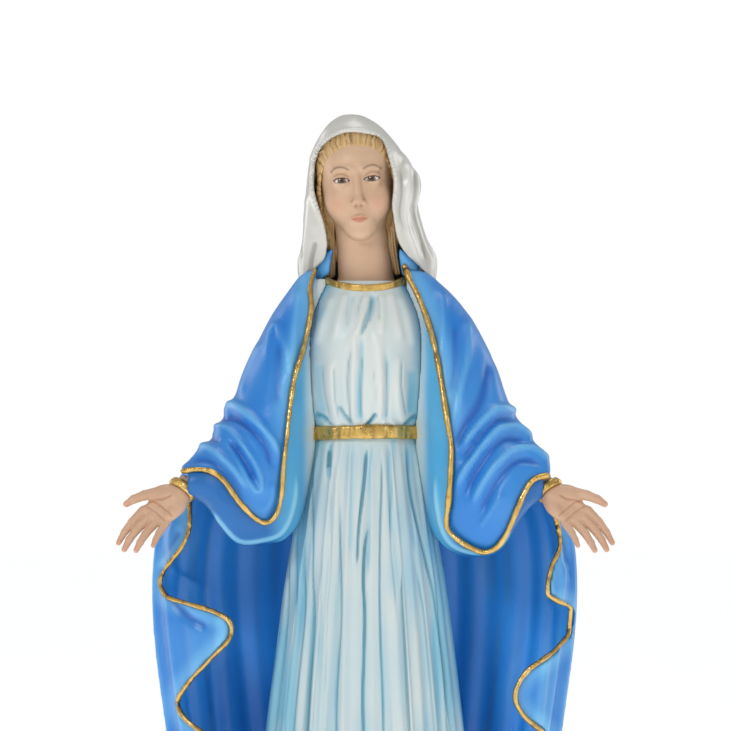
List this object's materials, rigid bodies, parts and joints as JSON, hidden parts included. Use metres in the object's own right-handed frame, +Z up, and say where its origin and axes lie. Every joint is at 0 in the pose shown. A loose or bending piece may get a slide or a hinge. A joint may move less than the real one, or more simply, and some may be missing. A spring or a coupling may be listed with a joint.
{
  "type": "madonna statue",
  "caption": "Standing veiled figure with lowered open hands, gilt-edged mantle over a long gown, on a globe and a round plinth.",
  "frame": {"origin": "centre of the resting face, under the felt pad", "axes": "+Z up towards the crown, -Y towards the front of the figure, +X towards the figure's own left hand"},
  "size_m": [0.1454, 0.094, 0.3],
  "materials": {
    "felt": "short-pile green felt",
    "plinth_paint": "cream stone-look paint on cast resin",
    "globe_paint": "airbrushed satin paint on cast resin",
    "serpent_paint": "satin paint on cast resin",
    "steel": "plain drawn steel",
    "gown_paint": "off-white satin paint, airbrushed pale blue in the folds",
    "sleeve_paint": "pale blue airbrushed satin paint",
    "mantle_paint": "azure blue satin paint, airbrushed lighter on the folds",
    "veil_paint": "glossy pearl white paint",
    "gilding": "brushed-on gilt paint",
    "skin_paint": "satin flesh paint with soft blush",
    "hair_paint": "ochre satin paint with brown wash",
    "eye_enamel": "gloss enamel",
    "dowel_wood": "plain beech"
  },
  "bodies": {
    "root": {"felt_pad": "felt", "plinth": "plinth_paint", "globe": "globe_paint", "serpent": "serpent_paint", "armature_rod": "steel", "armature_nut": "steel", "armature_washer": "steel", "foot_right": "skin_paint", "foot_left": "skin_paint", "gown_skirt": "gown_paint", "gown_bodice": "gown_paint", "girdle": "gilding", "neckline_band": "gilding", "undersleeve_right": "sleeve_paint", "undersleeve_left": "sleeve_paint", "mantle": "mantle_paint", "mantle_bead_right": "gilding", "mantle_bead_left": "gilding", "cascade_bead_right": "gilding", "cascade_bead_left": "gilding", "cuff_right": "gilding", "cuff_left": "gilding", "wrist_pin_right": "steel", "wrist_pin_left": "steel", "hand_right": "skin_paint", "hand_left": "skin_paint", "neck_dowel": "dowel_wood", "head": "skin_paint", "eye_right": "eye_enamel", "eye_left": "eye_enamel", "hair": "hair_paint", "veil": "veil_paint"}
  },
  "joints": []
}
